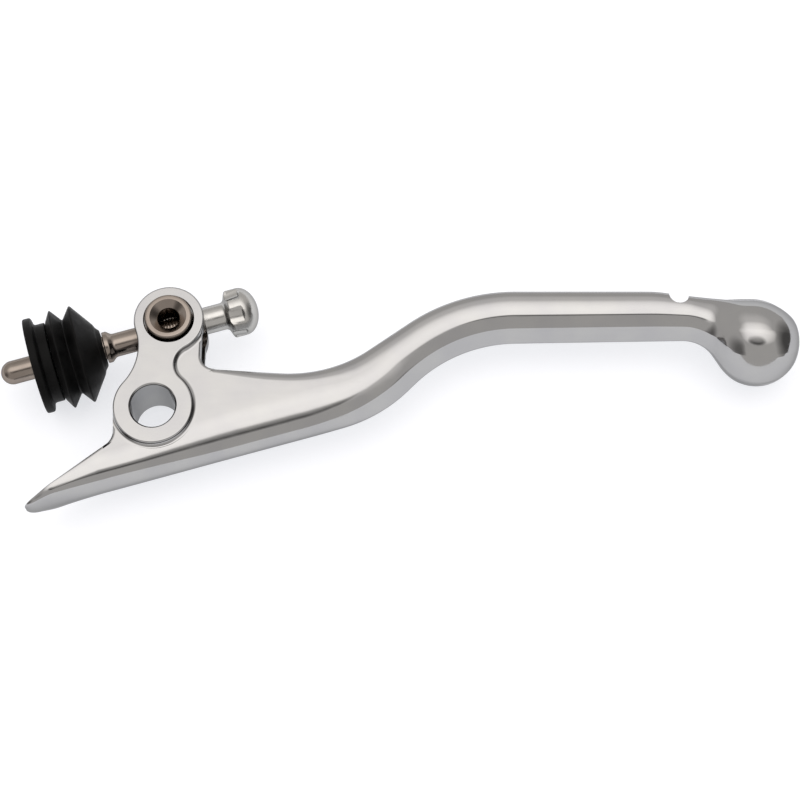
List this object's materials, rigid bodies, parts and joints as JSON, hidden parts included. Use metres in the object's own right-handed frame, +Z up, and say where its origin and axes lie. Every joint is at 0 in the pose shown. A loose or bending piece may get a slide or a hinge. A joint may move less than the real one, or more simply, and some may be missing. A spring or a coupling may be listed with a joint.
{
  "type": "clutch lever",
  "caption": "Polished forged hydraulic clutch lever with ball end, forked ear, trunnion barrel, threaded push rod, rubber dust boot and adjuster knob.",
  "frame": {"origin": "centre of the bounding box in plan, on the surface the lever lies on", "axes": "+X from the push rod to the ball end, +Y from the finger side to the handlebar side, +Z up along the pivot bore"},
  "size_m": [0.2006, 0.0594, 0.0256],
  "materials": {
    "polished_aluminium": "polished bright, soft reflections",
    "nickel_steel": "turned steel with a warm grey nickel plate",
    "boot_rubber": "moulded matt black",
    "bright_steel": "bright plated, fine tumbled grain"
  },
  "bodies": {
    "lever": {"lever_forging": "polished_aluminium"},
    "trunnion": {"trunnion_barrel": "nickel_steel"},
    "boot": {"boot_bellows": "boot_rubber", "boot_neck": "boot_rubber"},
    "rod": {"push_rod": "nickel_steel", "adjuster_knob": "bright_steel"},
    "boot_lip": {"boot_mouth": "boot_rubber"}
  },
  "joints": [
    {"name": "trunnion_swing", "type": "hinge", "parent": "lever", "child": "trunnion", "pos_m": [-0.05797, 0.01855, 0.0128], "axis": [0, 0, 1], "range_deg": [-20, 8]},
    {"name": "adjuster_advance", "type": "slide", "parent": "trunnion", "child": "boot", "axis": [0.9593, 0.2823, 0], "range_m": [-0.0023, 0.0023]},
    {"name": "adjuster_turn", "type": "hinge", "parent": "boot", "child": "rod", "pos_m": [-0.05797, 0.01855, 0.0128], "axis": [0.9593, 0.2823, 0], "range_deg": [-1080, 1080]},
    {"name": "boot_stroke", "type": "slide", "parent": "boot", "child": "boot_lip", "axis": [0.9593, 0.2823, 0], "range_m": [0, 0.006], "stiffness_N_per_m": 300, "deforming": ["boot_bellows"]}
  ],
  "couplings": [
    {"joint": "adjuster_advance", "follows": "adjuster_turn", "m_per_rad": 0.00011937}
  ]
}
